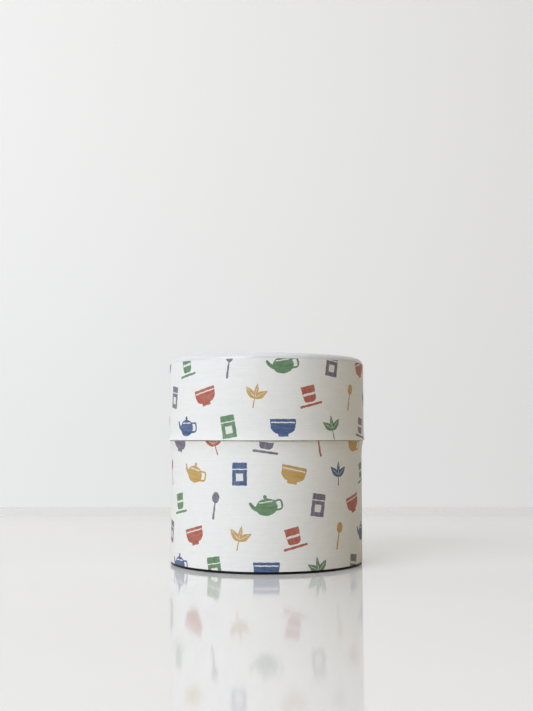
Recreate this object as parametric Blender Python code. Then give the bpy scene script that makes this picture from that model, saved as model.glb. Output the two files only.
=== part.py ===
"""Round paper-covered tea caddy: a tinplate can with a sleeve neck, a pull-off lid and a knobbed inner lid.

Metres, +Z up. The origin is the centre of the foot, on the floor. Every piece is turned about Z.
Outlines are lists of (radius, height) that run down a piece's outer side and back up its inner side.
"""

import math

import bmesh
import bpy

# Overall sizes, each set by itself
LID_RADIUS = 0.0400  # over the paper
BODY_STEP = 0.0009  # how much smaller the body's radius is, over the paper
BODY_HEIGHT = 0.0493  # floor to the body's upper edge
LID_HEIGHT = 0.0332  # lid's lower edge to its flat top

# Sheet and gaps
TIN = 0.00025  # tinplate
PAPER = 0.00025  # printed washi with its backing
SEAT_GAP = 0.0001  # between pieces that are glued, pressed or crimped together
SLIDE_GAP = 0.0003  # between the neck and the lid's hem
SEAM_GAP = 0.0003  # between the closed lid and the body

# Base
RIM_HEIGHT = 0.0009  # black rim that shows below the paper
RIM_INSET = 0.0002  # rim's outer edge in from the paper's face
RIM_ROUND = 0.00025
SKIRT_THICKNESS = 0.0006  # sheet folded double where it grips the barrel
SKIRT_HEIGHT = 0.0036
PANEL_RISE = 0.0026  # how far the pressed panel stands off the floor

# Body and neck
SWELL_DEPTH = 0.0054  # the barrel swells over the neck along this length
NECK_INSERT = 0.0160  # sleeve's length inside the barrel
MOUTH_HEM = 0.0009  # rolled mouth's width and height

# Outer lid
HEM_FLARE = 0.00045  # how far the hemmed edge stands out
HEM_HEIGHT = 0.0005  # straight part of the hem's inner side
FLARE_DEPTH = 0.0040
SHOULDER_RADIUS = 0.0025
CAP_SHOW = 0.0024  # enamelled shoulder's height above the paper
CAP_OVERLAP = 0.0007  # cap's full-width band below the paper's upper edge
CAP_SKIRT = 0.0030  # part of the cap that plugs into the lid's barrel

# Inner lid
KNOB_HEADROOM = 0.0055  # between the knob and the closed lid's underside
FLANGE_OVERLAP = 0.0002  # flange's rim in from the neck's outside
FLANGE_HEIGHT = 0.0008
PLUG_GAP = 0.0003  # between the dish and the neck's mouth
DISH_DEPTH = 0.0050
KNOB_BASE_RADIUS = 0.0048
KNOB_WAIST_RADIUS = 0.0034
KNOB_HEAD_RADIUS = 0.0062
KNOB_HEIGHT = 0.0080
KNOB_CROWN = 0.0006  # dome's rise above the head's round edge
KNOB_ROUND = 0.0013
KNOB_FOOT = 0.0006
KNOB_BORE_DEPTH = 0.0042
RIVET_RADIUS = 0.0013
RIVET_HEAD_RADIUS = 0.0030
RIVET_FACE_RADIUS = 0.0024  # flat of the head, inside its bevel
RIVET_HEAD_HEIGHT = 0.0005

CAN_SEGMENTS = 48
KNOB_SEGMENTS = 24
CURVE_STEPS = 4

# Heights and radii that follow from the sizes above
LID_BOTTOM = BODY_HEIGHT + SEAM_GAP
TOP = LID_BOTTOM + LID_HEIGHT
BODY_RADIUS = LID_RADIUS - BODY_STEP
BODY_TIN_RADIUS = BODY_RADIUS - PAPER - SEAT_GAP
LID_TIN_RADIUS = LID_RADIUS - PAPER - SEAT_GAP
LID_BORE = LID_TIN_RADIUS - TIN
NECK_RADIUS = LID_BORE - SLIDE_GAP
MOUTH_RADIUS = NECK_RADIUS - MOUTH_HEM
BODY_SWELL = NECK_RADIUS + SEAT_GAP + TIN - BODY_TIN_RADIUS
BARREL_BOTTOM = RIM_HEIGHT + SEAT_GAP
LID_PAPER_TOP = TOP - CAP_SHOW
CAP_STEP = LID_PAPER_TOP - CAP_OVERLAP
KNOB_TOP = TOP - TIN - KNOB_HEADROOM
KNOB_BOTTOM = KNOB_TOP - KNOB_HEIGHT
DISH_FLOOR = KNOB_BOTTOM - SEAT_GAP - TIN
FLANGE_BOTTOM = DISH_FLOOR + DISH_DEPTH
NECK_TOP = FLANGE_BOTTOM - SEAT_GAP


def arc(centre, radius, start, end, steps=CURVE_STEPS):
    """Points on a circle about centre, from start to end degrees, counted from +r towards +z."""
    angles = [math.radians(start + (end - start) * i / steps) for i in range(steps + 1)]
    return [(centre[0] + radius * math.cos(a), centre[1] + radius * math.sin(a)) for a in angles]


def swollen(radius, swell, edge, depth, inward):
    """A wall that swells towards edge along depth, as a parabola. inward is -1 or 1: down or up from it."""
    shares = [i / CURVE_STEPS for i in range(CURVE_STEPS + 1)]
    return [(radius + swell * (1 - share) ** 2, edge + inward * depth * share) for share in shares]


def shell(outside, thickness):
    """Closes an outside that runs down: the same points, thickness further in, lead back up."""
    return outside + [(r - thickness, z) for r, z in reversed(outside)]


def material(name, colour, roughness, metallic):
    made = bpy.data.materials.new(name)
    made.use_nodes = True
    shader = made.node_tree.nodes["Principled BSDF"]
    shader.inputs["Base Color"].default_value = (*colour, 1.0)
    shader.inputs["Roughness"].default_value = roughness
    shader.inputs["Metallic"].default_value = metallic
    return made


def turned(name, outline, look, group, segments=CAN_SEGMENTS):
    """The outline turned about Z: a ring if it stays off the axis, a plate or plug if its ends are on it."""
    closed = outline[0][0] > 0
    mesh = bpy.data.meshes.new(name)
    outline_mesh = bmesh.new()
    corners = [outline_mesh.verts.new((r, 0.0, z - group.location.z)) for r, z in outline]
    for first, second in zip(corners, corners[1:] + corners[:1] if closed else corners[1:]):
        outline_mesh.edges.new((first, second))
    outline_mesh.to_mesh(mesh)
    outline_mesh.free()
    piece = bpy.data.objects.new(name, mesh)
    bpy.context.scene.collection.objects.link(piece)
    mesh.materials.append(look)
    piece.parent = group
    screw = piece.modifiers.new("turned", "SCREW")
    screw.axis = "Z"
    screw.angle = math.tau
    screw.steps = segments
    screw.render_steps = segments
    screw.use_merge_vertices = True
    screw.merge_threshold = 0.000001
    screw.use_smooth_shade = True
    return piece


def pivot(name, height):
    """An empty on the can's axis, which carries one moving group."""
    made = bpy.data.objects.new(name, None)
    made.location = (0.0, 0.0, height)
    bpy.context.scene.collection.objects.link(made)
    return made


def base_plate(look, group):
    """Pressed plate: a countersunk panel in a folded skirt, with a rolled rim that the can stands on."""
    outer = BODY_RADIUS - RIM_INSET
    skirt = BODY_TIN_RADIUS - TIN - SEAT_GAP
    bore = skirt - SKIRT_THICKNESS
    outline = [
        (0.0, PANEL_RISE + TIN),
        (bore, PANEL_RISE + TIN),
        (bore, SKIRT_HEIGHT),
        (skirt, SKIRT_HEIGHT),
        (skirt, RIM_HEIGHT),
        *arc((outer - RIM_ROUND, RIM_HEIGHT - RIM_ROUND), RIM_ROUND, 90, 0, 2),
        *arc((outer - RIM_ROUND, RIM_ROUND), RIM_ROUND, 0, -90, 2),
        (bore, 0.0),
        (bore, PANEL_RISE),
        (0.0, PANEL_RISE),
    ]
    return turned("base_plate", outline, look, group)


def body_barrel(look, group):
    """Rolled tinplate tube. Its upper end swells over the neck sleeve."""
    outside = swollen(BODY_TIN_RADIUS, BODY_SWELL, BODY_HEIGHT, SWELL_DEPTH, -1)
    return turned("body_barrel", shell(outside + [(BODY_TIN_RADIUS, BARREL_BOTTOM)], TIN), look, group)


def body_paper(look, group):
    """Printed paper glued round the barrel, from the rim to the upper edge."""
    outside = swollen(BODY_RADIUS, BODY_SWELL, BODY_HEIGHT, SWELL_DEPTH, -1)
    return turned("body_paper", shell(outside + [(BODY_RADIUS, BARREL_BOTTOM)], PAPER), look, group)


def neck_sleeve(look, group):
    """Bright sleeve pressed into the barrel. It follows the swell and stands up as a neck with a rolled mouth."""
    deep = NECK_RADIUS - BODY_SWELL
    hem_middle = (NECK_RADIUS - MOUTH_HEM / 2, NECK_TOP - MOUTH_HEM / 2)
    below = swollen(deep, BODY_SWELL, BODY_HEIGHT, SWELL_DEPTH, -1) + [(deep, BODY_HEIGHT - NECK_INSERT)]
    outline = [
        *arc(hem_middle, MOUTH_HEM / 2, 90, 0, 2),
        *below,
        *[(r - TIN, z) for r, z in reversed(below)],
        (NECK_RADIUS - TIN, NECK_TOP - MOUTH_HEM),
        *arc(hem_middle, MOUTH_HEM / 2, 225, 135, 2),
    ]
    return turned("neck_sleeve", outline, look, group)


def lid_barrel(look, group):
    """Rolled tinplate tube. Its lower edge is flared and hemmed inwards down to the sliding bore."""
    outside = [
        (LID_TIN_RADIUS, CAP_STEP - SEAT_GAP),
        *reversed(swollen(LID_TIN_RADIUS, HEM_FLARE, LID_BOTTOM, FLARE_DEPTH, 1)),
    ]
    inside = [(r - TIN, z) for r, z in reversed(outside) if z > LID_BOTTOM + HEM_HEIGHT]
    hem = [(LID_BORE, LID_BOTTOM), (LID_BORE, LID_BOTTOM + HEM_HEIGHT)]
    return turned("lid_barrel", outside + hem + inside, look, group)


def lid_paper(look, group):
    """Printed paper glued round the lid, from its hem up over the cap's lower band."""
    outside = [
        (LID_RADIUS, LID_PAPER_TOP),
        *reversed(swollen(LID_RADIUS, HEM_FLARE, LID_BOTTOM, FLARE_DEPTH, 1)),
    ]
    return turned("lid_paper", shell(outside, PAPER), look, group)


def lid_top(look, group):
    """White enamelled cap: a flat panel, a round shoulder and a stepped skirt that plugs into the barrel."""
    shoulder = (LID_TIN_RADIUS - SHOULDER_RADIUS, TOP - SHOULDER_RADIUS)
    plug = LID_BORE - SEAT_GAP
    outline = [
        (0.0, TOP),
        *arc(shoulder, SHOULDER_RADIUS, 90, 0),
        (LID_TIN_RADIUS, CAP_STEP),
        (plug, CAP_STEP),
        (plug, CAP_STEP - CAP_SKIRT),
        (plug - TIN, CAP_STEP - CAP_SKIRT),
        (plug - TIN, CAP_STEP + TIN),
        (LID_TIN_RADIUS - TIN, CAP_STEP + TIN),
        *arc(shoulder, SHOULDER_RADIUS - TIN, 0, 90),
        (0.0, TOP - TIN),
    ]
    return turned("lid_top", outline, look, group)


def inner_lid_pan(look, group):
    """Pressed dish that drops into the neck. Its flange sits on the mouth, and a rivet pierces its floor."""
    rim = NECK_RADIUS - FLANGE_OVERLAP
    wall = MOUTH_RADIUS - PLUG_GAP
    hole = RIVET_RADIUS + SEAT_GAP
    outline = [
        (wall, FLANGE_BOTTOM + FLANGE_HEIGHT),
        (rim, FLANGE_BOTTOM + FLANGE_HEIGHT),
        (rim, FLANGE_BOTTOM),
        (wall, FLANGE_BOTTOM),
        (wall, DISH_FLOOR),
        (hole, DISH_FLOOR),
        (hole, DISH_FLOOR + TIN),
        (wall - TIN, DISH_FLOOR + TIN),
        (wall - TIN, FLANGE_BOTTOM + FLANGE_HEIGHT),
    ]
    return turned("inner_lid_pan", outline, look, group)


def inner_lid_knob(look, group):
    """Moulded finger knob, waisted, with a domed head and a blind bore for the rivet."""
    bore = RIVET_RADIUS + SEAT_GAP
    bead = (KNOB_HEAD_RADIUS - KNOB_ROUND, KNOB_TOP - KNOB_CROWN - KNOB_ROUND)
    waist_round = (KNOB_HEIGHT - KNOB_CROWN - 2 * KNOB_ROUND - KNOB_FOOT) / 2
    waist = (KNOB_WAIST_RADIUS + waist_round, KNOB_BOTTOM + KNOB_FOOT + waist_round)
    outline = [
        (0.0, KNOB_TOP),
        *arc(bead, KNOB_ROUND, 75, -60),
        *arc(waist, waist_round, 120, 240),
        (KNOB_BASE_RADIUS, KNOB_BOTTOM + KNOB_FOOT),
        (KNOB_BASE_RADIUS, KNOB_BOTTOM),
        (bore, KNOB_BOTTOM),
        (bore, KNOB_BOTTOM + KNOB_BORE_DEPTH),
        (0.0, KNOB_BOTTOM + KNOB_BORE_DEPTH),
    ]
    return turned("inner_lid_knob", outline, look, group, KNOB_SEGMENTS)


def knob_rivet(look, group):
    """Rivet driven up through the pan into the knob. Its flat head is under the pan."""
    head_top = DISH_FLOOR - SEAT_GAP
    outline = [
        (0.0, KNOB_BOTTOM + KNOB_BORE_DEPTH - SEAT_GAP),
        (RIVET_RADIUS, KNOB_BOTTOM + KNOB_BORE_DEPTH - SEAT_GAP),
        (RIVET_RADIUS, head_top),
        (RIVET_HEAD_RADIUS, head_top),
        (RIVET_FACE_RADIUS, head_top - RIVET_HEAD_HEIGHT),
        (0.0, head_top - RIVET_HEAD_HEIGHT),
    ]
    return turned("knob_rivet", outline, look, group, KNOB_SEGMENTS)


for old in list(bpy.data.objects):
    bpy.data.objects.remove(old)

tinplate = material("bright_tinplate", (0.72, 0.72, 0.70), 0.28, 1.0)
washi = material("printed_washi", (0.86, 0.86, 0.84), 0.62, 0.0)
white_enamel = material("white_enamel", (0.85, 0.86, 0.87), 0.30, 0.0)
black_enamel = material("black_enamel", (0.03, 0.03, 0.03), 0.35, 0.0)
black_plastic = material("black_plastic", (0.03, 0.03, 0.03), 0.40, 0.0)

can = pivot("can", 0.0)
base_plate(black_enamel, can)
body_barrel(tinplate, can)
body_paper(washi, can)
neck_sleeve(tinplate, can)

outer_lid = pivot("outer_lid", LID_BOTTOM)
lid_barrel(tinplate, outer_lid)
lid_paper(washi, outer_lid)
lid_top(white_enamel, outer_lid)

inner_lid = pivot("inner_lid", FLANGE_BOTTOM)
inner_lid_pan(tinplate, inner_lid)
inner_lid_knob(black_plastic, inner_lid)
knob_rivet(tinplate, inner_lid)
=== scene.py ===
"""Round paper-covered tea caddy: a tinplate can with a sleeve neck, a knobbed inner lid and a pull-off lid.

Outlines are drawn in millimetres, as (distance from the can's axis, height above the table), and
become metres when a mesh is filled. The sections follow the caddy as it is put together.
"""

import math

import bpy
import numpy as np
from mathutils.geometry import delaunay_2d_cdt
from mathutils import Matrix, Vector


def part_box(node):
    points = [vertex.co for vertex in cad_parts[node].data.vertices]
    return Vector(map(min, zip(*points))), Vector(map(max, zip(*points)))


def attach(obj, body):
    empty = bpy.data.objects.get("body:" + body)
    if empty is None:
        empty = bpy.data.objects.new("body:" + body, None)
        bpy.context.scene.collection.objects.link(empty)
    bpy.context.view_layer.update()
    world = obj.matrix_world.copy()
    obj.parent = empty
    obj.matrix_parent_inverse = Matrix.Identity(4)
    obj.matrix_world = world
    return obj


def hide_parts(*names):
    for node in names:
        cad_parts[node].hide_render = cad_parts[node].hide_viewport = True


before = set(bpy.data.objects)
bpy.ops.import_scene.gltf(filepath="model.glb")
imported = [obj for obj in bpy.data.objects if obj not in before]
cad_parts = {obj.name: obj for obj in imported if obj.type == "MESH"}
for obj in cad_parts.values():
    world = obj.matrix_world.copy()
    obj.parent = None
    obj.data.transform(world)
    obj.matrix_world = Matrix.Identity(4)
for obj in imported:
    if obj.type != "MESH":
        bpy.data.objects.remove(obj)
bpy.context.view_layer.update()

scene = bpy.context.scene


# ---- The studio ---------------------------------------------------------------------------------
# A glossy pale table with a rounded back edge stands before a pale wall, which glows with painted light
# that fades to the right and upwards. One big soft window of light stands on the left, and a weak one on
# the right. None of this is part of the caddy.

CAMERA_BACK = 0.410  # metres from the can's axis
CAMERA_HEIGHT = 0.0513
CAMERA_TILT = math.radians(4.65)  # looking up


def node(tree, kind, inputs=(), **settings):
    """A shader node. Each input takes a value, or another node's output, which is linked to it."""
    made = tree.nodes.new("ShaderNode" + kind)
    for name, value in settings.items():
        setattr(made, name, value)
    for name, value in dict(inputs).items():
        if isinstance(value, bpy.types.NodeSocket):
            tree.links.new(value, made.inputs[name])
        else:
            made.inputs[name].default_value = value
    return made


def studio_paint(name, seen, bounced, roughness):
    """A studio surface: one tone as seen, and a dimmer warmer one in the light that it throws back."""
    made = bpy.data.materials.new(name)
    made.use_nodes = True
    tree = made.node_tree
    shader = tree.nodes["Principled BSDF"]
    shader.inputs["Roughness"].default_value = roughness
    shader.inputs["IOR"].default_value = 1.33  # a thin gloss
    path = node(tree, "LightPath")
    tone = node(tree, "Mix", data_type="RGBA")
    tree.links.new(path.outputs["Is Camera Ray"], tone.inputs[0])
    tone.inputs[6].default_value = (*bounced, 1.0)
    tone.inputs[7].default_value = (*seen, 1.0)
    tree.links.new(tone.outputs[2], shader.inputs["Base Color"])
    return made


def filled(name, points, faces, materials):
    """A mesh object. points is (n, 3) in metres.

    faces is a list of (m, 3) and (m, 4) arrays of point numbers.
    """
    mesh = bpy.data.meshes.new(name)
    corners = np.concatenate([group.ravel() for group in faces])
    sides = np.concatenate([np.full(len(group), group.shape[1]) for group in faces])
    mesh.vertices.add(len(points))
    mesh.vertices.foreach_set("co", np.asarray(points, np.float32).ravel())
    mesh.loops.add(len(corners))
    mesh.loops.foreach_set("vertex_index", corners.astype(np.int32))
    mesh.polygons.add(len(sides))
    mesh.polygons.foreach_set("loop_start", (np.cumsum(sides) - sides).astype(np.int32))
    mesh.update(calc_edges=True)
    for material in materials:
        mesh.materials.append(material)
    made = bpy.data.objects.new(name, mesh)
    scene.collection.objects.link(made)
    return made


def studio_sheet(name, profile, material):
    """A wide sheet: each (back, up) point of the profile, drawn out along X to both sides."""
    half_width = 3.0
    back, up = np.array(profile, float).T
    across = np.array([-half_width, half_width])
    points = np.stack(np.broadcast_arrays(across[None, :], back[:, None], up[:, None]), -1).reshape(-1, 3)
    first = np.arange(len(back) - 1) * 2
    quads = np.stack([first, first + 1, first + 3, first + 2], -1)
    made = filled(name, points, [quads], [material])
    made.data.shade_smooth()


def window_light(name, place, aim, width, height, power, colour):
    """A soft rectangle of light at place, facing aim."""
    lamp = bpy.data.lights.new(name, "AREA")
    lamp.shape = "RECTANGLE"
    lamp.size = width
    lamp.size_y = height
    lamp.energy = power
    lamp.color = colour
    made = bpy.data.objects.new(name, lamp)
    scene.collection.objects.link(made)
    towards = np.array(aim) - np.array(place)
    made.location = place
    made.rotation_euler = (
        math.acos(-towards[2] / np.linalg.norm(towards)),
        0.0,
        math.atan2(towards[1], towards[0]) - math.pi / 2,
    )
    return made


TABLE_BACK = 0.31
TABLE_EDGE = 0.02
edge_turn = np.linspace(0, math.pi / 2, 12)
table_edge = np.column_stack([np.sin(edge_turn), np.cos(edge_turn) - 1]) * TABLE_EDGE + (TABLE_BACK, 0.0)
table_paint = studio_paint("table_white", (0.885, 0.87, 0.865), (0.66, 0.60, 0.47), 0.07)
wall_paint = studio_paint("wall_white_painted_glow", (0.62, 0.62, 0.62), (0.60, 0.59, 0.57), 0.6)
backdrop = wall_paint.node_tree.nodes["Principled BSDF"]
# Painted light: the wall glows by its own emission, strongest behind the caddy's foot and fading to the
# right and upwards, a painted gradient of light and shade.
backdrop.inputs["Emission Color"].default_value = (1.0, 0.99, 0.98, 1.0)
PAINTED_GLOW = 0.415  # the wall's glow behind the caddy's foot
PAINTED_GLOW_FALL = (-0.08, 0.0, -0.155)  # its change for each metre to the right, back and up
at_wall = node(wall_paint.node_tree, "TexCoord")
painted_glow_fall = node(
    wall_paint.node_tree,
    "VectorMath",
    {0: at_wall.outputs["Object"], 1: PAINTED_GLOW_FALL},
    operation="DOT_PRODUCT",
)
painted_glow = node(wall_paint.node_tree, "Math", {0: painted_glow_fall.outputs["Value"], 1: PAINTED_GLOW}, operation="ADD")
wall_paint.node_tree.links.new(painted_glow.outputs[0], backdrop.inputs["Emission Strength"])
TABLE_FRONT = -1.6
WALL_BACK = 0.95
studio_sheet("table", [(TABLE_FRONT, 0.0), *table_edge], table_paint)
studio_sheet("wall", [(WALL_BACK, -0.6), (WALL_BACK, 2.8)], wall_paint)
window_light("window_left", (-1.5, -1.62, 1.3), (0.0, 0.1, 0.05), 2.0, 1.4, 56.0, (0.87, 0.925, 1.0))
window_light("window_right", (1.5, -0.3, 0.7), (0.0, 0.0, 0.05), 1.0, 0.8, 1.7, (1.0, 0.74, 0.42))
window_light("ceiling", (0.0, -0.4, 2.4), (0.0, 0.3, 0.1), 2.2, 2.0, 20.0, (1.0, 0.985, 0.955))

world = bpy.data.worlds.new("studio_air")
world.use_nodes = True
air = world.node_tree.nodes["Background"]
air.inputs["Color"].default_value = (1.0, 0.96, 0.88, 1.0)
air_path = node(world.node_tree, "LightPath")
air_tone = node(world.node_tree, "MapRange", {"To Min": 0.10, "To Max": 0.78})  # dim as light, pale as seen
world.node_tree.links.new(air_path.outputs["Is Camera Ray"], air_tone.inputs["Value"])
world.node_tree.links.new(air_tone.outputs[0], air.inputs["Strength"])
scene.world = world
scene.view_settings.view_transform = "Standard"

lens = bpy.data.cameras.new("camera")
lens.lens = 50
lens.clip_start = 0.01
camera = bpy.data.objects.new("camera", lens)
camera.location = (0.0, -CAMERA_BACK, CAMERA_HEIGHT)
camera.rotation_euler = (math.pi / 2 + CAMERA_TILT, 0.0, 0.0)
scene.collection.objects.link(camera)
scene.camera = camera


# ---- Body barrel --------------------------------------------------------------------------------
# A tube of bright tinplate rolled up and lapped at the back, though its turned shape here leaves the lap
# out. Its upper end swells out over the neck sleeve. The paper hides its outside, so its inside and its two
# edges are what shows.

MM = 0.001
TIN = 0.25  # tinplate's thickness
WASHI = 0.16  # paper's thickness
GLUE = 0.01  # between the paper and the tin
SWELL_DEPTH = 5.4  # height over which the body's upper end swells
LAP_CENTRE = math.radians(112)  # the tinplate's lap, at the back
LAP_HALF = 0.055  # radians
LAP_PROUD = 0.07


def reach(name):
    """(radius, lowest, highest) of a CAD node, in millimetres."""
    low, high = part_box(name)
    return high.x / MM, low.z / MM, high.z / MM


def unit(vector):
    return vector / np.hypot(*vector)


def bent(corners, closed=False, step=math.radians(9)):
    """Line through (across, up, bend radius) corners, as straight runs joined by circular arcs.

    An arc touches both runs, so its centre is on the corner's bisector, radius / sin(half angle) away.
    """
    corners = np.array(corners, float)
    count = len(corners)
    line = []
    for i in range(count):
        corner, radius = corners[i, :2], corners[i, 2]
        if radius == 0 or not closed and i in (0, count - 1):
            line.append(corner[None])
            continue
        back = unit(corners[i - 1, :2] - corner)
        on = unit(corners[(i + 1) % count, :2] - corner)
        half = math.acos(np.clip(back @ on, -1, 1)) / 2
        centre = corner + unit(back + on) * radius / math.sin(half)
        start = corner + back * radius / math.tan(half) - centre
        turn = math.copysign(math.pi - 2 * half, back[1] * on[0] - back[0] * on[1])
        angles = turn * np.linspace(0, 1, max(2, math.ceil(abs(turn) / step)) + 1)
        across = start[0] * np.cos(angles) - start[1] * np.sin(angles)
        up = start[0] * np.sin(angles) + start[1] * np.cos(angles)
        line.append(centre + np.column_stack([across, up]))
    return np.concatenate(line)


def braced(line, closed=False, longest=1.6, brace=0.06):
    """The line with long runs divided, and a point close to each of their ends, so that flats shade flat."""
    ends = np.concatenate([line, line[:1]]) if closed else line
    parts = []
    for start, end in zip(ends, ends[1:]):
        length = np.hypot(*(end - start))
        parts.append(start[None])
        if length > 8 * brace:
            shares = np.linspace(brace / length, 1 - brace / length, int(length // longest) + 2)
            parts.append(start + shares[:, None] * (end - start))
    return np.concatenate(parts if closed else parts + [line[-1:]])


def swollen(radius, swell, edge, depth, direction):
    """A wall that swells towards its edge: radius + swell (1 - t) squared.

    t is 0 at the edge and 1 at depth.
    """
    t = np.linspace(0, 1, 15)
    return np.column_stack([radius + swell * (1 - t) ** 2, edge + direction * depth * t])


def walled(path, thickness):
    """Closes a sheet on its path: the path moved square to itself, to its right, and half-round edges.

    At a bend, the mean direction m of the two runs gives the move 2 m / |m| squared. A path that
    starts on the axis gets no edge there.
    """
    runs = np.diff(path, axis=0)
    runs /= np.hypot(*runs.T)[:, None]
    mean = np.concatenate([2 * runs[:1], runs[1:] + runs[:-1], 2 * runs[-1:]])
    move = 2 * np.column_stack([mean[:, 1], -mean[:, 0]]) / (mean**2).sum(1)[:, None] * thickness
    turn = np.linspace(0, math.pi, 8)[1:-1, None]
    end = path[-1] + move[-1] / 2 - np.cos(turn) * move[-1] / 2 + np.sin(turn) * runs[-1] * thickness / 2
    start = path[0] + move[0] / 2 + np.cos(turn) * move[0] / 2 - np.sin(turn) * runs[0] * thickness / 2
    return np.concatenate([path, end, (path + move)[::-1], start[: 0 if path[0, 0] == 0 else None]])


def lapped(radius, height, angle):
    """Raises a tube where its sheet laps over itself: a smooth plateau across the lap's few degrees."""
    inside = np.clip((LAP_HALF - np.abs(angle - LAP_CENTRE)) / 0.008, 0, 1)
    return radius + LAP_PROUD * inside**2 * (3 - 2 * inside)


def turned(name, outline, materials, cad_node, body, around=480, inner_from=None, relief=None):
    """The outline turned about Z: (r, z) goes to (r cos a, r sin a, z) at even angles a.

    A closed outline gives a ring. One that starts and ends on the axis gives a plate, with one point
    there. The attribute "girth" holds (distance round, distance along the outline) in millimetres.
    """
    ring = outline[0, 0] > 0
    rows = len(outline)
    angle = np.arange(around) * math.tau / around
    radius = np.repeat(outline[:, :1], around, 1)
    height = np.repeat(outline[:, 1:], around, 1)
    if relief:
        radius = relief(radius, height, angle[None, :])
    points = np.stack([radius * np.cos(angle), radius * np.sin(angle), height], -1).reshape(-1, 3)
    above = np.arange(rows if ring else rows - 1)
    below = (above + 1) % rows
    left = np.arange(around)
    right = (left + 1) % around
    number = np.arange(rows * around).reshape(rows, around)
    if not ring:
        number[0] = number[0, 0]
        number[-1] = number[-1, 0]
    quads = np.stack(
        [
            number[above][:, left],
            number[below][:, left],
            number[below][:, right],
            number[above][:, right],
        ],
        -1,
    )
    along = np.concatenate([[0], np.cumsum(np.hypot(*np.diff(outline, axis=0).T))])
    along = np.append(along, along[-1] + np.hypot(*(outline[0] - outline[-1])))
    girth = outline[:, 0].max() * math.tau / around
    u = np.stack([left, left, left + 1, left + 1], -1)[None] * girth + 0 * quads
    v = np.stack([along[above], along[above + 1], along[above + 1], along[above]], -1)[:, None] + 0 * quads
    if ring:
        faces = [quads.reshape(-1, 4)]
        maps = np.stack([u, v], -1).reshape(-1, 2)
    else:
        faces = [quads[0][:, 1:], quads[1:-1].reshape(-1, 4), quads[-1][:, [0, 1, 3]]]
        maps = np.stack([u, v], -1)
        maps = [maps[0][:, 1:], maps[1:-1], maps[-1][:, [0, 1, 3]]]
        maps = np.concatenate([part.reshape(-1, 2) for part in maps])
    used, faces = renumbered(faces, len(points))
    made = filled(name, points[used] * MM, faces, materials)
    mesh = made.data
    written = mesh.attributes.new("girth", "FLOAT_VECTOR", "CORNER")
    written.data.foreach_set("vector", np.column_stack([maps, 0 * maps[:, 0]]).astype(np.float32).ravel())
    if inner_from is not None:
        inner = (np.arange(len(above)) >= inner_from).astype(np.int32)
        mesh.polygons.foreach_set("material_index", np.repeat(inner, around))
    mesh.shade_smooth()
    mesh.set_sharp_from_angle(angle=math.radians(38))
    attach(made, body)
    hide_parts(cad_node)
    return made


def renumbered(faces, count):
    """Drops the points that no face uses. Returns those kept, and the faces in the new numbers."""
    used = np.zeros(count, bool)
    for group in faces:
        used[group.ravel()] = True
    number = np.cumsum(used) - 1
    return used, [number[group] for group in faces]


def material(name, roughness, metallic=0.0):
    """A material with its Principled shader, ready for its nodes. Returns it, its tree and the shader."""
    made = bpy.data.materials.new(name)
    made.use_nodes = True
    shader = made.node_tree.nodes["Principled BSDF"]
    shader.inputs["Roughness"].default_value = roughness
    shader.inputs["Metallic"].default_value = metallic
    return made, made.node_tree, shader


def effect(name, inputs, outputs):
    """A shader group. inputs are (name, default) and outputs are names, of one number each."""
    group = bpy.data.node_groups.new(name, "ShaderNodeTree")
    for label, default in inputs:
        kind = "NodeSocketVector" if isinstance(default, tuple) else "NodeSocketFloat"
        socket = group.interface.new_socket(label, in_out="INPUT", socket_type=kind)
        socket.default_value = default
    for label in outputs:
        group.interface.new_socket(label, in_out="OUTPUT", socket_type="NodeSocketFloat")
    return group, group.nodes.new("NodeGroupInput"), group.nodes.new("NodeGroupOutput")


def handling():
    """Faint finger marks and dust: broad soft noise, cut to patches, with finer noise inside them."""
    group, given, put = effect("handling", [("Place", (0.0, 0.0, 0.0)), ("Size", 60.0)], ["Mask"])
    broad = node(group, "TexNoise", {"Vector": given.outputs["Place"], "Scale": given.outputs["Size"]})
    finer = node(group, "Math", {0: given.outputs["Size"], 1: 9.0}, operation="MULTIPLY")
    fine = node(group, "TexNoise", {"Vector": given.outputs["Place"], "Scale": finer.outputs[0]})
    patch = node(
        group, "MapRange", {"Value": broad.outputs[0], "From Min": 0.45, "From Max": 0.68}, clamp=True
    )
    mask = node(group, "Math", {0: patch.outputs[0], 1: fine.outputs[0]}, operation="MULTIPLY")
    group.links.new(mask.outputs[0], put.inputs["Mask"])
    return group


def placed(tree, group, **inputs):
    """A copy of an effect in a material's tree."""
    made = tree.nodes.new("ShaderNodeGroup")
    made.node_tree = group
    for name, value in inputs.items():
        if isinstance(value, bpy.types.NodeSocket):
            tree.links.new(value, made.inputs[name])
        else:
            made.inputs[name].default_value = value
    return made


def ranged(tree, value, low, high, start=0.0, end=1.0):
    """value carried from start..end to low..high."""
    return node(
        tree,
        "MapRange",
        {"Value": value, "From Min": start, "From Max": end, "To Min": low, "To Max": high},
    ).outputs[0]


def mixed(tree, share, first, second, blend="MIX"):
    """Two colours mixed. Each is (r, g, b, 1) or another node's output."""
    made = tree.nodes.new("ShaderNodeMix")
    made.data_type = "RGBA"
    made.blend_type = blend
    for index, value in ((0, share), (6, first), (7, second)):
        if isinstance(value, bpy.types.NodeSocket):
            tree.links.new(value, made.inputs[index])
        else:
            made.inputs[index].default_value = value
    return made.outputs[2]


handling_marks = handling()


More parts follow.
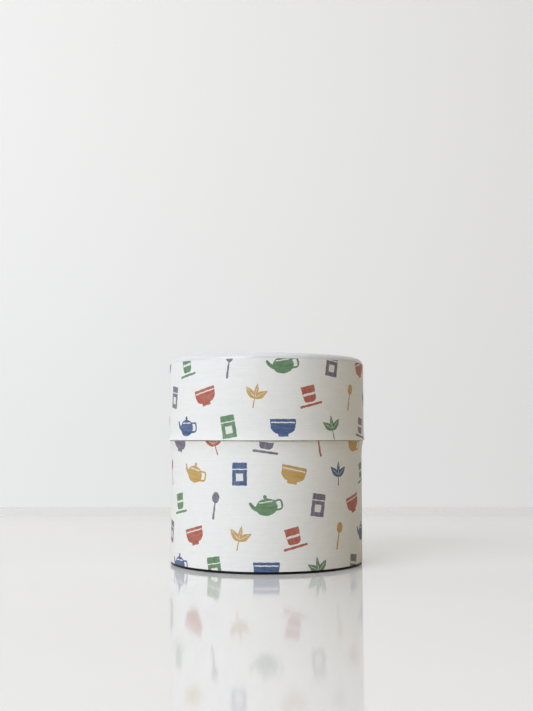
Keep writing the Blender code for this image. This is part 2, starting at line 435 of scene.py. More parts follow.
def tinplate_finish():
    """Bright tinplate: fine rolling lines round the sheet, clouds in the tin, and faint handling marks."""
    made, tree, shader = material("bright_tinplate", 0.25, metallic=1.0)
    girth = node(tree, "Attribute", attribute_name="girth")
    lines_at = node(tree, "Mapping", {"Vector": girth.outputs["Vector"], "Scale": (0.03, 5.0, 1.0)})
    lines = node(
        tree, "TexNoise", {"Vector": lines_at.outputs[0], "Scale": 1.0, "Detail": 5.0, "Roughness": 0.65}
    )
    clouds = node(tree, "TexNoise", {"Vector": girth.outputs["Vector"], "Scale": 0.16, "Detail": 3.0})
    place = node(tree, "TexCoord")
    marks = placed(tree, handling_marks, Place=place.outputs["Object"], Size=45.0)
    bright = mixed(tree, clouds.outputs[0], (0.62, 0.62, 0.61, 1.0), (0.80, 0.80, 0.78, 1.0))
    dull = mixed(tree, ranged(tree, lines.outputs[0], 0.0, 0.5, 0.4, 0.75), bright, (0.52, 0.52, 0.50, 1.0))
    tree.links.new(dull, shader.inputs["Base Color"])
    base = ranged(tree, lines.outputs[0], 0.17, 0.36, 0.3, 0.7)
    rough = node(tree, "Math", {0: marks.outputs["Mask"], 1: 0.22, 2: base}, operation="MULTIPLY_ADD")
    tree.links.new(rough.outputs[0], shader.inputs["Roughness"])
    bump = node(tree, "Bump", {"Strength": 0.12, "Distance": 0.00002, "Height": lines.outputs[0]})
    tree.links.new(bump.outputs[0], shader.inputs["Normal"])
    return made


tinplate = tinplate_finish()

base_radius, base_low, base_high = reach("base_plate")
paper_radius, paper_low, body_top = reach("body_paper")
barrel_low = reach("body_barrel")[1]
neck_radius, neck_low, neck_top = reach("neck_sleeve")
BODY_RADIUS = 39.1  # over the paper, below the swell
body_swell = paper_radius - BODY_RADIUS
barrel_wall = BODY_RADIUS - WASHI - GLUE
BARREL_THICKNESS = 0.43  # the tin with its lacquer and glue

barrel_path = np.concatenate(
    [
        swollen(barrel_wall, body_swell, body_top - 0.05, SWELL_DEPTH, -1),
        [[barrel_wall, barrel_low + 0.1]],
    ]
)
turned(
    "body_barrel_tube",
    walled(braced(barrel_path), BARREL_THICKNESS),
    [tinplate],
    "body_barrel",
    "can",
)


# ---- Base plate ---------------------------------------------------------------------------------
# A plate pressed from one disc: black enamel below, bare tin inside the can. Its skirt is folded
# double and grips the barrel, the rolled rim carries the caddy, and two beads stiffen the panel.

RIM_HEIGHT = 0.9
SKIRT = 38.4
BORE = 37.8
PANEL = 2.6  # the panel's underside above the table
BEADS = ((22.0, 0.45), (30.5, 0.7))  # each bead's radius and rise
BEAD_HALF = 1.1


def beaded(height, beads, outward):
    """A flat plate's side with round beads pressed up in it, from the axis outwards or back inwards."""
    corners = []
    for radius, rise in beads:
        half = BEAD_HALF
        corners += [
            (radius - half, height, 0.6),
            (radius - 0.25 * half, height + rise, 0.5),
            (radius + 0.25 * half, height + rise, 0.5),
            (radius + half, height, 0.6),
        ]
    return corners if outward else corners[::-1]


def orange_peel():
    """Sprayed enamel's skin: two sizes of soft noise, as a height."""
    group, given, put = effect("orange_peel", [("Place", (0.0, 0.0, 0.0)), ("Size", 900.0)], ["Height"])
    wide = node(group, "TexNoise", {"Vector": given.outputs["Place"], "Scale": given.outputs["Size"]})
    finer = node(group, "Math", {0: given.outputs["Size"], 1: 3.7}, operation="MULTIPLY")
    small = node(group, "TexNoise", {"Vector": given.outputs["Place"], "Scale": finer.outputs[0]})
    both = node(
        group, "Math", {0: small.outputs[0], 1: 0.3, 2: wide.outputs[0]}, operation="MULTIPLY_ADD"
    )
    group.links.new(both.outputs[0], put.inputs["Height"])
    return group


peel = orange_peel()


def enamel_finish(name, low, high, worn, roughness, gloss, wear_from, wear_to):
    """Sprayed enamel. Its tone drifts between low and high, and it is rubbed to worn between two heights."""
    made, tree, shader = material(name, roughness)
    shader.inputs["Specular IOR Level"].default_value = gloss
    place = node(tree, "TexCoord").outputs["Object"]
    marks = placed(tree, handling_marks, Place=place, Size=70.0)
    drift = node(tree, "TexNoise", {"Vector": place, "Scale": 90.0, "Detail": 4.0})
    specks = node(tree, "TexNoise", {"Vector": place, "Scale": 2600.0, "Detail": 2.0})
    tone = mixed(tree, drift.outputs[0], (*low, 1.0), (*high, 1.0))
    height = node(tree, "SeparateXYZ", {"Vector": place}).outputs["Z"]
    edge = ranged(tree, height, 1.0, 0.0, wear_from * MM, wear_to * MM)
    scuff = node(tree, "TexNoise", {"Vector": place, "Scale": 420.0, "Detail": 6.0, "Roughness": 0.7})
    rubbed = ranged(tree, scuff.outputs[0], 0.0, 0.8, 0.56, 0.74)
    wear = node(tree, "Math", {0: edge, 1: rubbed}, operation="MULTIPLY")
    tone = mixed(tree, wear.outputs[0], tone, (*worn, 1.0))
    tone = mixed(tree, ranged(tree, specks.outputs[0], 0.0, 0.2, 0.72, 0.80), tone, (*worn, 1.0))
    tree.links.new(tone, shader.inputs["Base Color"])
    base = ranged(tree, drift.outputs[0], roughness - 0.05, roughness + 0.07)
    rough = node(tree, "Math", {0: marks.outputs["Mask"], 1: 0.25, 2: base}, operation="MULTIPLY_ADD")
    tree.links.new(rough.outputs[0], shader.inputs["Roughness"])
    skin = placed(tree, peel, Place=place, Size=700.0)
    bump = node(tree, "Bump", {"Strength": 0.15, "Distance": 0.00004, "Height": skin.outputs["Height"]})
    tree.links.new(bump.outputs[0], shader.inputs["Normal"])
    return made


black_enamel = enamel_finish(
    "black_enamel", (0.004, 0.004, 0.005), (0.010, 0.010, 0.012), (0.07, 0.07, 0.07), 0.33, 0.2, 0.03, 0.22
)

upper_side = [
    (0.0, PANEL + TIN, 0.0),
    *beaded(PANEL + TIN, BEADS, True),
    (BORE, PANEL + TIN, 0.35),
    (BORE, base_high, 0.2),
]
lower_side = [
    (SKIRT, base_high, 0.2),
    (SKIRT, RIM_HEIGHT, 0.06),
    (base_radius, RIM_HEIGHT, 0.3),
    (base_radius, base_low, 0.35),
    (BORE, base_low, 0.4),
    (BORE, PANEL, 0.45),
    *beaded(PANEL, BEADS, False),
    (0.0, PANEL, 0.0),
]
upper_points = len(braced(bent(upper_side)))
base_outline = braced(bent(upper_side + lower_side))
turned(
    "base_plate_shell",
    base_outline,
    [tinplate, black_enamel],
    "base_plate",
    "can",
    inner_from=upper_points,
)


# ---- Neck sleeve --------------------------------------------------------------------------------
# A bright tinplate sleeve pressed into the barrel, which makes the caddy's neck. It follows the
# barrel's swell from inside, and its mouth is curled inwards so that no cut edge is left.

CURL = 0.45  # the curled mouth's radius
deep_radius = neck_radius - body_swell
curl_turn = np.radians(np.linspace(235, 0, 24))[:, None]
curl_centre = np.array([[neck_radius - CURL, neck_top - CURL]])
neck_path = np.concatenate(
    [
        curl_centre + CURL * np.hstack([np.cos(curl_turn), np.sin(curl_turn)]),
        swollen(deep_radius, body_swell, body_top, SWELL_DEPTH, -1),
        [[deep_radius, neck_low + TIN / 2]],
    ]
)


def neck_lap(radius, height, angle):
    """The lap, left out of the curled mouth."""
    below = np.clip((neck_top - 2.5 - height) / 2.0, 0, 1)
    return radius + (lapped(radius, height, angle) - radius) * below


turned(
    "neck_sleeve_tube",
    walled(braced(neck_path), TIN),
    [tinplate],
    "neck_sleeve",
    "can",
    relief=neck_lap,
)


# ---- Inner lid ----------------------------------------------------------------------------------
# A dish pressed from tinplate drops into the neck and hangs by its flange. A rivet driven up
# through its floor holds a turned black plastic knob, by which it is lifted out.

FLANGE_HEIGHT = 0.8
PLUG_GAP = 0.3  # between the dish and the neck's mouth
pan_radius, pan_low, pan_high = reach("inner_lid_pan")
dish = neck_radius - 2 * CURL - PLUG_GAP
flange_low = pan_high - FLANGE_HEIGHT
RIVET_HOLE = 1.4
PAN_BEADS = ((9.5, 0.4), (27.0, 0.5))
pan_floor = pan_low + TIN
pan_corners = [
    (pan_radius, pan_high, 0.38),
    (pan_radius, flange_low, 0.38),
    (dish, flange_low, 0.12),
    (dish, pan_low, 1.1),
    *beaded(pan_low, PAN_BEADS, False),
    (RIVET_HOLE, pan_low, 0.0),
    (RIVET_HOLE, pan_floor, 0.0),
    *beaded(pan_floor, PAN_BEADS, True),
    (dish - TIN, pan_floor, 0.85),
    (dish - TIN, pan_high, 0.5),
]
turned(
    "inner_lid_dish",
    braced(bent(pan_corners, closed=True), closed=True),
    [tinplate],
    "inner_lid_pan",
    "inner_lid",
)

knob_radius, knob_low, knob_high = reach("inner_lid_knob")
rivet_radius, rivet_low, rivet_high = reach("knob_rivet")
KNOB_BASE = 4.8
KNOB_WAIST = 3.3
RIVET_SHANK = 1.3


def plastic_finish():
    """Moulded black plastic: a satin skin with fine grain, and duller where fingers hold it."""
    made, tree, shader = material("black_plastic", 0.38)
    place = node(tree, "TexCoord").outputs["Object"]
    marks = placed(tree, handling_marks, Place=place, Size=160.0)
    grain = placed(tree, peel, Place=place, Size=2400.0)
    tone = mixed(tree, grain.outputs["Height"], (0.010, 0.010, 0.011, 1.0), (0.026, 0.026, 0.028, 1.0))
    tree.links.new(tone, shader.inputs["Base Color"])
    rough = node(tree, "Math", {0: marks.outputs["Mask"], 1: 0.4, 2: 0.32}, operation="MULTIPLY_ADD")
    tree.links.new(rough.outputs[0], shader.inputs["Roughness"])
    bump = node(tree, "Bump", {"Strength": 0.2, "Distance": 0.00004, "Height": grain.outputs["Height"]})
    tree.links.new(bump.outputs[0], shader.inputs["Normal"])
    return made


knob_corners = [
    (0.0, knob_high - 0.18, 0.0),
    (3.2, knob_high - 0.18, 0.2),
    (3.6, knob_high - 0.02, 0.3),
    (knob_radius, knob_high - 0.55, 1.1),
    (knob_radius, knob_high - 3.1, 1.0),
    (KNOB_WAIST, knob_high - 4.7, 2.2),
    (KNOB_WAIST, knob_low + 1.6, 1.2),
    (KNOB_BASE, knob_low + 0.7, 0.35),
    (KNOB_BASE, knob_low, 0.12),
    (RIVET_HOLE, knob_low, 0.1),
    (RIVET_HOLE, rivet_high + 0.1, 0.2),
    (0.0, rivet_high + 0.1, 0.0),
]
turned(
    "inner_lid_handle",
    braced(bent(knob_corners, step=math.radians(6)), longest=0.5),
    [plastic_finish()],
    "inner_lid_knob",
    "inner_lid",
    around=240,
)

rivet_corners = [
    (0.0, rivet_high, 0.0),
    (RIVET_SHANK, rivet_high, 0.25),
    (RIVET_SHANK, rivet_low + 0.5, 0.05),
    (rivet_radius, rivet_low + 0.5, 0.12),
    (rivet_radius * 0.8, rivet_low, 0.5),
    (0.0, rivet_low, 0.0),
]
turned(
    "handle_rivet",
    braced(bent(rivet_corners), longest=0.5),
    [tinplate],
    "knob_rivet",
    "inner_lid",
    around=160,
)


# ---- Outer lid ----------------------------------------------------------------------------------
# A second rolled tinplate tube, flared and hemmed at its lower edge, with a white enamelled cap
# pressed into its top. The cap has a round shoulder and a stepped skirt that grips the tube.

FLARE_DEPTH = 4.0
HEM_HEIGHT = 0.5
LID_RADIUS = 40.0  # over the paper, above the flare
LID_BORE = 39.4
hem_radius, lid_low, lid_paper_top = reach("lid_paper")
cap_radius, cap_low, cap_top = reach("lid_top")
_, _, tube_top = reach("lid_barrel")
hem_flare = hem_radius - LID_RADIUS
lid_wall = LID_RADIUS - WASHI - GLUE
flare = swollen(lid_wall, hem_flare, lid_low + 0.08, FLARE_DEPTH, 1)
inner_wall = swollen(LID_BORE, hem_flare, lid_low + 0.08, FLARE_DEPTH, 1)
inner_wall = inner_wall[inner_wall[:, 1] > lid_low + HEM_HEIGHT + 0.1]
hem = bent(
    [
        (*flare[1], 0.0),
        (flare[0, 0], lid_low + 0.02, 0.14),
        (LID_BORE, lid_low + 0.02, 0.14),
        (LID_BORE, lid_low + HEM_HEIGHT, 0.1),
        (*inner_wall[0], 0.0),
    ]
)
tube_outline = np.concatenate(
    [
        [[LID_BORE + 0.02, tube_top], [lid_wall - 0.04, tube_top], [lid_wall, tube_top - 0.06]],
        flare[:0:-1],
        hem[1:-1],
        inner_wall,
        [[LID_BORE, tube_top - 0.04]],
    ]
)
turned(
    "lid_barrel_tube",
    braced(tube_outline, closed=True),
    [tinplate],
    "lid_barrel",
    "outer_lid",
    relief=lambda radius, height, angle: np.where(
        radius < lid_wall - 0.1, 2 * radius - lapped(radius, height, angle), radius
    ),
)

CAP_SHOULDER = 2.5
CAP_STEP = 79.7  # height at which the cap steps in to its skirt
CAP_PLUG = 39.3
LEDGE = lid_paper_top - 0.12  # the glue line under the paper's upper edge

white_enamel = enamel_finish(
    "white_enamel",
    (0.70, 0.705, 0.72),
    (0.75, 0.755, 0.77),
    (0.66, 0.66, 0.64),
    0.30,
    0.5,
    lid_paper_top + 0.35,
    lid_paper_top,
)
cap_outside = [
    (0.0, cap_top, 0.0),
    (cap_radius, cap_top, CAP_SHOULDER),
    (cap_radius, LEDGE + 0.15, 0.06),
    (lid_wall, LEDGE, 0.05),
    (lid_wall, CAP_STEP, 0.1),
    (CAP_PLUG, CAP_STEP, 0.12),
    (CAP_PLUG, cap_low, 0.1),
]
cap_inside = [
    (CAP_PLUG - TIN, cap_low, 0.1),
    (CAP_PLUG - TIN, CAP_STEP + TIN, 0.15),
    (cap_radius - TIN, CAP_STEP + TIN, 0.1),
    (cap_radius - TIN, cap_top - TIN, CAP_SHOULDER - TIN),
    (0.0, cap_top - TIN, 0.0),
]
cap_outer_points = len(braced(bent(cap_outside)))
turned(
    "lid_cap",
    braced(bent(cap_outside + cap_inside, step=math.radians(6))),
    [white_enamel, tinplate],
    "lid_top",
    "outer_lid",
    inner_from=cap_outer_points + 5,
)


# ---- Stamps of the print ------------------------------------------------------------------------
# The covering paper is stamped all over with plain tea things, one ink to a stamp, on a half-drop
# repeat. A stamp is a list of cuts, each an outline in millimetres about the stamp's middle with
# its ink, that ink where it lies thin, and the direction in which it was brushed onto the block.

INKS = [(58, 84, 134), (176, 88, 70), (92, 132, 92), (196, 156, 84), (112, 104, 128)]
BARE = (232, 232, 229)  # where the block was cut away and the paper shows
DRYNESS = 0.14  # how much of the paper shows where the brush ran dry

cuts_made = 0


def cut(outline, ink, lean=0.0):
    """One cut of a stamp, its outline given points along its long runs and a slight waver of the knife.

    The waver moves each point across by two sine waves of its distance along the outline.
    """
    global cuts_made
    cuts_made += 1
    outline = braced(np.asarray(outline, float), closed=True, longest=0.35, brace=0.05)
    runs = np.roll(outline, -1, 0) - np.roll(outline, 1, 0)
    along = np.cumsum(np.hypot(*runs.T)) / 2
    square = np.column_stack([runs[:, 1], -runs[:, 0]]) / np.maximum(np.hypot(*runs.T), 1e-6)[:, None]
    waver = 0.05 * np.sin(along * 2.1 + cuts_made) + 0.03 * np.sin(along * 5.3 + 2.7 * cuts_made)
    thinner = tuple(0.78 * tone + 48 for tone in ink)
    return outline + waver[:, None] * square, ink, thinner, math.radians(lean)


def oval(across, up, width, height, points=40):
    """An ellipse about (across, up)."""
    turn = np.linspace(0, math.tau, points, endpoint=False)
    return np.column_stack([across + width / 2 * np.cos(turn), up + height / 2 * np.sin(turn)])


def smooth_path(points, steps=10):
    """A curve through the points: on each span, the cubic whose end slopes follow the neighbours."""
    points = np.array(points, float)
    padded = np.concatenate([2 * points[:1] - points[1:2], points, 2 * points[-1:] - points[-2:-1]])
    t = np.linspace(0, 1, steps, endpoint=False)[:, None]
    spans = [
        b + t * (c - a) / 2 + t**2 * (a - 2.5 * b + 2 * c - d / 2) + t**3 * (1.5 * (b - c) + (d - a) / 2)
        for a, b, c, d in zip(padded, padded[1:], padded[2:], padded[3:])
    ]
    return np.concatenate(spans + [points[-1:]])


def stroke(points, widths):
    """A line of the block: the curve through the points, widened to each side, with round ends."""
    path = smooth_path(points)
    width = np.interp(np.linspace(0, 1, len(path)), np.linspace(0, 1, len(widths)), widths)[:, None] / 2
    runs = np.gradient(path, axis=0)
    runs /= np.hypot(*runs.T)[:, None]
    square = np.column_stack([-runs[:, 1], runs[:, 0]])
    turn = np.linspace(0, math.pi, 7)[1:-1, None]
    end = path[-1] + width[-1] * (np.cos(turn) * square[-1] + np.sin(turn) * runs[-1])
    start = path[0] - width[0] * (np.cos(turn) * square[0] + np.sin(turn) * runs[0])
    return np.concatenate([path + width * square, end, (path - width * square)[::-1], start])


def leaf(foot, tip, width):
    """A leaf from foot to tip: each edge goes out by width / 2 times the sine of its share of the way."""
    foot, tip = np.array(foot, float), np.array(tip, float)
    share = np.linspace(0, 1, 24)[:, None]
    along = tip - foot
    square = np.array([-along[1], along[0]]) / np.hypot(*along)
    swell = width / 2 * np.sin(math.pi * share**0.8) * square
    middle = foot + share * along
    return np.concatenate([middle + swell, (middle - swell)[-2:0:-1]])


def vessel(side):
    """A standing vessel's outline: its right side's corners from rim to foot, and the same mirrored."""
    return bent(side + [(-x, y, bend) for x, y, bend in reversed(side)], closed=True)


def bowl_stamp(ink):
    """A half-round bowl on a foot ring, with one line cut under its rim."""
    side = [(5.0, 3.0, 0.3), (4.6, -1.8, 3.0), (1.9, -2.6, 0.3), (1.9, -3.6, 0.1)]
    return [cut(vessel(side), ink), cut(stroke([(-4.4, 1.7), (4.4, 1.7)], [0.45, 0.45]), BARE)]


def cup_stamp(ink):
    """A straight cup without a handle, standing on a saucer."""
    side = [(2.9, 3.8, 0.2), (2.5, -2.4, 1.5)]
    return [
        cut(vessel(side), ink, lean=90),
        cut(stroke([(-2.2, 0.6), (2.2, 0.6)], [0.9, 0.9]), BARE),
        cut(stroke([(-4.4, -3.5), (4.4, -3.5)], [0.9, 0.9]), ink),
    ]


def pot_stamp(ink):
    """A round pot seen from its side: loop handle, spout, lid line and knob."""
    loop = [(3.2, 1.5), (5.6, 1.3), (5.6, -1.5), (3.2, -1.9)]
    return [
        cut(stroke(loop, [0.7, 0.7]), ink),
        cut(stroke([(-3.2, -0.8), (-5.0, 0.4), (-5.8, 2.0)], [1.7, 1.0]), ink),
        cut(oval(0, -0.3, 8.2, 6.4), ink),
        cut(stroke([(-2.5, 1.6), (2.5, 1.6)], [0.4, 0.4]), BARE),
        cut(oval(0, 3.5, 1.4, 1.4, 18), ink),
    ]


def shoot_stamp(ink):
    """The tip of a tea shoot: a bud between two even leaves."""
    cuts = [cut(stroke([(0, -4.6), (0, -0.8)], [0.5, 0.4]), ink)]
    for tip, width in (((-4.2, 2.6), 2.5), ((4.2, 2.6), 2.5), ((0.0, 4.8), 1.6)):
        cuts.append(cut(leaf((0, -1.2), tip, width), ink, lean=90))
        cuts.append(cut(stroke([(0.12 * tip[0], -0.4), (0.8 * tip[0], 0.75 * tip[1])], [0.22, 0.1]), BARE))
    return cuts


def tin_stamp(ink):
    """A plain caddy with its seam and a blank square label."""
    side = [(2.9, 4.4, 0.5), (2.9, -4.2, 0.4)]
    return [
        cut(vessel(side), ink, lean=90),
        cut(stroke([(-2.9, 1.9), (2.9, 1.9)], [0.4, 0.4]), BARE),
        cut(vessel([(1.4, 0.3, 0.1), (1.4, -2.5, 0.1)]), BARE),
    ]


def spoon_stamp(ink):
    """A round-headed tea spoon, upright."""
    return [cut(stroke([(0, 1.0), (0, -5.0)], [0.6, 0.9]), ink), cut(oval(0, 3.0, 3.2, 4.2), ink)]


STAMPS = [bowl_stamp, shoot_stamp, cup_stamp, spoon_stamp, pot_stamp, tin_stamp]
COLUMNS = 12  # stamps in one row round the tin, a whole number of runs through STAMPS
ROW_STEP = 11.8
TURNS = (0, 10, -8, 14, -12)  # degrees, as the stamps were laid down by hand


def repeat(high, first_row, degrees):
    """The half-drop repeat over one sheet: each stamp, its ink, degrees round, height and turn.

    Rows go up to the sheet's upper edge, which cuts the last, and every other one stands half a
    step round. Going 1 along and 2 up through the stamps, and 2 along and 1 up through the inks,
    keeps neighbours from sharing either.
    """
    reach_of_stamp = 5.5
    rows = math.ceil((high + reach_of_stamp - first_row) / ROW_STEP)
    return [
        (
            STAMPS[(column + 2 * row) % len(STAMPS)],
            INKS[(2 * column + row) % len(INKS)],
            degrees + 360 / COLUMNS * (column + row % 2 / 2),
            first_row + ROW_STEP * row,
            TURNS[(column + 3 * row) % len(TURNS)],
        )
        for row in range(rows)
        for column in range(COLUMNS)
    ]


# ---- Paper covers -------------------------------------------------------------------------------
# Each cover is one sheet of printed washi pasted round the tin, with its end lapped over its start
# at the back. The body's sheet rises over the swell and the lid's goes out over the flare.

LAP = 4.0  # how far the sheet laps over its own start
LAP_RAMP = 1.8  # length over which it climbs onto it
GRID = 1.0  # spacing of the sheet's own points


def linear(colour):
    """A screen colour from 0 to 255 as light: ((c + 0.055) / 1.055) to the 2.4, or c / 12.92 when dark."""
    share = np.array(colour, float) / 255
    return np.where(share <= 0.04045, share / 12.92, ((share + 0.055) / 1.055) ** 2.4)


def laid_out(radius, start, places):
    """The stamps' cuts in the sheet's own (along, up) places, and each cut's middle, lean and inks."""
    cuts = []
    for stamp, ink, degrees, height, turn in places:
        along = (math.radians(degrees - 90) - start) % math.tau * radius
        tilt = math.radians(turn)
        spin = np.array([[math.cos(tilt), math.sin(tilt)], [-math.sin(tilt), math.cos(tilt)]])
        for outline, full, thinner, lean in stamp(ink):
            cuts.append((outline @ spin + (along, height), (along, height), lean + tilt, full, thinner))
    return cuts


def trimmed(first, last, low, high):
    """Line pieces cut off at the sheet's edges: the shares of each at which it enters and leaves."""
    run = last - first
    with np.errstate(divide="ignore", invalid="ignore"):
        to_low, to_high = (low - first) / run, (high - first) / run
    enters = np.nan_to_num(np.minimum(to_low, to_high), nan=-np.inf).max(1).clip(0)
    leaves = np.nan_to_num(np.maximum(to_low, to_high), nan=np.inf).min(1).clip(max=1)
    kept = leaves > enters + 1e-9
    enters, leaves = enters[kept, None], leaves[kept, None]
    return first[kept] + enters * run[kept], first[kept] + leaves * run[kept]


def inside(points, outline):
    """Which points lie in the outline: those whose line to the right crosses it an odd number of times."""
    x, y = points[:, :1], points[:, 1:]
    x0, y0 = outline.T
    x1, y1 = np.roll(outline, -1, 0).T
    spans = (y0 > y) != (y1 > y)
    with np.errstate(divide="ignore", invalid="ignore"):
        crossing = x0 + (y - y0) * (x1 - x0) / (y1 - y0)
    return (spans & (x < crossing)).sum(1) % 2 == 1


def cut_up(cuts, length, low, high):
    """The flat sheet in triangles whose edges follow every cut. Returns points and triangles."""
    corner_low, corner_high = np.array([0.0, low]), np.array([length, high])
    along = np.linspace(0, length, round(length / GRID) + 1)
    up = np.linspace(low, high, round((high - low) / GRID) + 1)
    grid = np.stack(np.meshgrid(along, up), -1).reshape(-1, 2)
    starts = np.concatenate([outline for outline, *_ in cuts])
    ends = np.concatenate([np.roll(outline, -1, 0) for outline, *_ in cuts])
    first, last = trimmed(starts, ends, corner_low, corner_high)
    points = np.round(np.concatenate([grid, first, last]), 4)
    points, number = np.unique(points, axis=0, return_inverse=True)
    number = number.ravel()
    pairs = number[len(grid) :].reshape(2, -1).T
    edges = np.unique(np.sort(pairs[pairs[:, 0] != pairs[:, 1]], 1), axis=0)
    found = delaunay_2d_cdt(points.tolist(), edges.tolist(), [], 0, 1e-4, False)
    flat = np.array([tuple(point) for point in found[0]])
    triangles = np.array(found[2])
    a, b, c = (flat[triangles[:, k]] for k in range(3))
    area = (b[:, 0] - a[:, 0]) * (c[:, 1] - a[:, 1]) - (b[:, 1] - a[:, 1]) * (c[:, 0] - a[:, 0])
    triangles[area < 0] = triangles[area < 0][:, ::-1]
    return flat, triangles[np.abs(area) > 1e-9]


def inked(flat, triangles, cuts):
    """Each triangle's inks, and its corners' places in its cut's brushed direction.

    Later cuts cover earlier ones. The second ink's alpha is its dryness.
    """
    middles = flat[triangles].mean(1)
    ink = np.zeros((len(triangles), 4))
    second = np.zeros((len(triangles), 4))
    brush = np.zeros((len(triangles), 3, 3))
    for seed, (outline, middle, lean, full, thinner) in enumerate(cuts):
        near = ((middles > outline.min(0)) & (middles < outline.max(0))).all(1).nonzero()[0]
        if not len(near):
            continue
        held = near[inside(middles[near], outline)]
        ink[held] = (*linear(full), 1.0)
        second[held] = (*linear(thinner), DRYNESS)
        across = flat[triangles[held]] - middle
        brush[held, :, 0] = across[..., 0] * math.cos(lean) + across[..., 1] * math.sin(lean)
        brush[held, :, 1] = across[..., 1] * math.cos(lean) - across[..., 0] * math.sin(lean)
        brush[held, :, 2] = seed * 7.3
    return ink, second, brush


def paper_cover(name, radius, swell, low, high, flap_end, places, cad_node, body):
    """A printed sheet rolled round the tin: (along, up) goes to angle start + along / radius and height up.

    Its distance from the axis is radius + swell(up), and the lap's lift over the sheet's own start.
    """
    girth = math.tau * radius
    length = girth + LAP
    start = math.radians(flap_end) - length / radius
    cuts = laid_out(radius, start, places)
    flat, triangles = cut_up(cuts, length, low, high)
    ink, second, brush = inked(flat, triangles, cuts)
    climb = np.clip((flat[:, 0] - girth + LAP_RAMP) / (LAP_RAMP - 0.1), 0, 1)
    outside = radius + swell(flat[:, 1]) + (WASHI + GLUE) * climb**2 * (3 - 2 * climb)
    angle = start + flat[:, 0] / radius
    rim = np.concatenate([triangles[:, [0, 1]], triangles[:, [1, 2]], triangles[:, [2, 0]]])
    code = rim.min(1) * len(flat) + rim.max(1)
    _, index, uses = np.unique(code, return_index=True, return_counts=True)
    rim = rim[index[uses == 1]]
    under = len(flat)
    sides = np.column_stack([rim[:, 1], rim[:, 0], rim[:, 0] + under, rim[:, 1] + under])
    faces = [triangles, triangles[:, ::-1] + under, sides]
    both = np.concatenate([outside, outside - WASHI])
    turn = np.concatenate([angle, angle])
    points = np.column_stack([both * np.cos(turn), both * np.sin(turn), np.tile(flat[:, 1], 2)])
    made = filled(name, points * MM, faces, [washi])
    mesh = made.data
    count = len(mesh.polygons)
    for label, values in (("ink", ink), ("ink_second", second)):
        written = mesh.attributes.new(label, "FLOAT_COLOR", "FACE")
        padded = np.zeros((count, 4), np.float32)
        padded[: len(values)] = values
        written.data.foreach_set("color", padded.ravel())
    written = mesh.attributes.new("brush", "FLOAT_VECTOR", "CORNER")
    padded = np.zeros((len(mesh.loops), 3), np.float32)
    padded[: brush.size // 3] = brush.reshape(-1, 3)
    written.data.foreach_set("vector", padded.ravel())
    written = mesh.attributes.new("sheet", "FLOAT_VECTOR", "POINT")
    spread = np.column_stack([np.tile(flat, (2, 1)), np.repeat([0.0, 9.0], under)])
    written.data.foreach_set("vector", spread.astype(np.float32).ravel())
    mesh.shade_smooth()
    mesh.set_sharp_from_angle(angle=math.radians(38))
    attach(made, body)
    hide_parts(cad_node)
    return made


def fibres(tree, sheet, degrees, fine):
    """Long thin fibres that lie about one direction: noise stretched along it and cut to its crests."""
    lying = node(
        tree,
        "Mapping",
        {
            "Vector": sheet,
            "Rotation": (0.0, 0.0, math.radians(degrees)),
            "Scale": (0.22 * fine, 3.4 * fine, 1.0),
        },
    )
    grain = node(
        tree, "TexNoise", {"Vector": lying.outputs[0], "Scale": 1.0, "Detail": 3.0, "Distortion": 0.6}
    )
    return ranged(tree, grain.outputs[0], 0.0, 1.0, 0.60, 0.70)


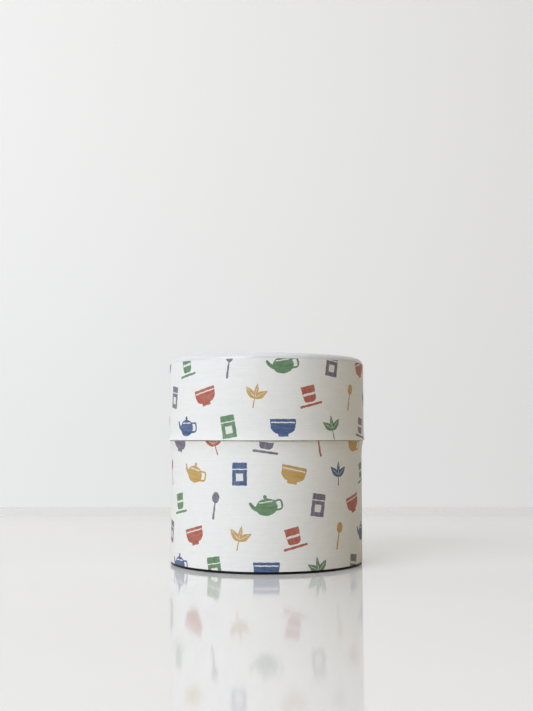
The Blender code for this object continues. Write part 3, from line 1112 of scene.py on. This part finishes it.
def washi_finish():
    """Washi: soft white with laid lines, fibres and clouds, under inks that thin where they ran dry."""
    made, tree, shader = material("washi_print", 0.6)
    shader.inputs["Sheen Weight"].default_value = 0.08
    sheet = node(tree, "Attribute", attribute_name="sheet").outputs["Vector"]
    brush = node(tree, "Attribute", attribute_name="brush").outputs["Vector"]
    ink = node(tree, "Attribute", attribute_name="ink")
    second = node(tree, "Attribute", attribute_name="ink_second")

    clouds = node(tree, "TexNoise", {"Vector": sheet, "Scale": 0.35, "Detail": 4.0})
    paper = mixed(tree, clouds.outputs[0], (0.825, 0.83, 0.84, 1.0), (0.89, 0.893, 0.90, 1.0))
    laid_at = node(tree, "Mapping", {"Vector": sheet, "Scale": (0.05, 2.4, 1.0)})
    laid = node(tree, "TexNoise", {"Vector": laid_at.outputs[0], "Scale": 1.0, "Detail": 2.0})
    laid_share = ranged(tree, laid.outputs[0], 0.0, 0.16, 0.42, 0.66)
    paper = mixed(tree, laid_share, paper, (0.70, 0.70, 0.685, 1.0))
    strands = [fibres(tree, sheet, degrees, fine) for degrees, fine in ((18, 1.0), (-27, 1.3), (74, 1.6))]
    pair = node(tree, "Math", {0: strands[0], 1: strands[1]}, operation="MAXIMUM")
    strand = node(tree, "Math", {0: pair.outputs[0], 1: strands[2]}, operation="MAXIMUM").outputs[0]
    paper = mixed(tree, ranged(tree, strand, 0.0, 0.5), paper, (0.93, 0.93, 0.92, 1.0))

    wide_at = node(tree, "Mapping", {"Vector": brush, "Scale": (0.16, 1.1, 1.0)})
    wide = node(
        tree,
        "TexNoise",
        {"Vector": wide_at.outputs[0], "Scale": 1.0, "Detail": 5.0, "Roughness": 0.6},
    )
    hair_at = node(tree, "Mapping", {"Vector": brush, "Scale": (0.5, 5.0, 1.0)})
    hair = node(
        tree,
        "TexNoise",
        {"Vector": hair_at.outputs[0], "Scale": 1.0, "Detail": 4.0, "Roughness": 0.7},
    )
    pigment = mixed(
        tree,
        ranged(tree, wide.outputs[0], 0.0, 1.0, 0.40, 0.66),
        ink.outputs["Color"],
        second.outputs["Color"],
    )
    pigment = mixed(
        tree, ranged(tree, hair.outputs[0], 0.0, 0.30, 0.45, 0.8), pigment, (0.5, 0.5, 0.5, 1.0), "OVERLAY"
    )
    pools = ranged(tree, wide.outputs[0], 0.35, 0.0, 0.26, 0.42)
    pigment = mixed(tree, pools, pigment, (0.55, 0.55, 0.6, 1.0), "MULTIPLY")
    missed = ranged(tree, hair.outputs[0], 0.0, 1.0, 0.52, 0.66)
    thin = node(tree, "Math", {0: missed, 1: second.outputs["Alpha"]}, operation="MULTIPLY")
    kept = node(tree, "Math", {0: 1.0, 1: thin.outputs[0]}, operation="SUBTRACT")
    share = node(tree, "Math", {0: kept.outputs[0], 1: ink.outputs["Alpha"]}, operation="MULTIPLY")
    tree.links.new(mixed(tree, share.outputs[0], paper, pigment), shader.inputs["Base Color"])

    dry = ranged(tree, strand, 0.66, 0.58)
    rough = node(tree, "Math", {0: share.outputs[0], 1: -0.10, 2: dry}, operation="MULTIPLY_ADD")
    tree.links.new(rough.outputs[0], shader.inputs["Roughness"])
    relief = node(tree, "Math", {0: strand, 1: 0.6, 2: laid.outputs[0]}, operation="MULTIPLY_ADD")
    bump = node(tree, "Bump", {"Strength": 0.25, "Distance": 0.00006, "Height": relief.outputs[0]})
    tree.links.new(bump.outputs[0], shader.inputs["Normal"])
    return made


washi = washi_finish()
paper_cover(
    "body_paper_cover",
    BODY_RADIUS,
    lambda up: body_swell * np.clip(1 - (body_top - up) / SWELL_DEPTH, 0, 1) ** 2,
    paper_low,
    body_top,
    104,
    repeat(body_top, 1.5, 0.0),  # the first row is cut by the sheet's lower edge
    "body_paper",
    "can",
)
paper_cover(
    "lid_paper_cover",
    LID_RADIUS,
    lambda up: hem_flare * np.clip(1 - (up - lid_low) / FLARE_DEPTH, 0, 1) ** 2,
    lid_low,
    lid_paper_top,
    71,
    repeat(lid_paper_top, 54.6, 9.0),  # pasted by eye, so it doesn't carry the body's rows on
    "lid_paper",
    "outer_lid",
)
